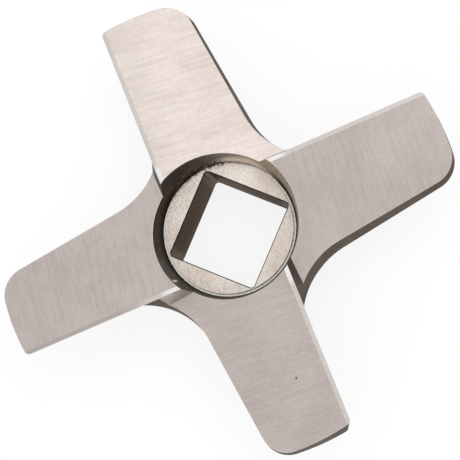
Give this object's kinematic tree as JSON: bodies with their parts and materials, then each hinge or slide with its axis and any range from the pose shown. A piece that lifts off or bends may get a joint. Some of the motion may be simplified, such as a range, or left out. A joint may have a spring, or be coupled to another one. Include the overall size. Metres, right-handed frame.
{
  "type": "meat grinder knife",
  "caption": "Cross-shaped knife for a household meat grinder, with undercut cutting edges, ground faces, a round face recess and a square drive hole.",
  "frame": {"origin": "on the axis of rotation, at the flat back of the hub", "axes": "+Z along the axis of rotation towards the cutting edges, +X along the first blade's cutting edge"},
  "size_m": [0.047, 0.047, 0.0087],
  "materials": {
    "steel": "ground cutting face, as-cast walls, hub and recess floor"
  },
  "bodies": {
    "root": {"knife": "steel"}
  },
  "joints": []
}
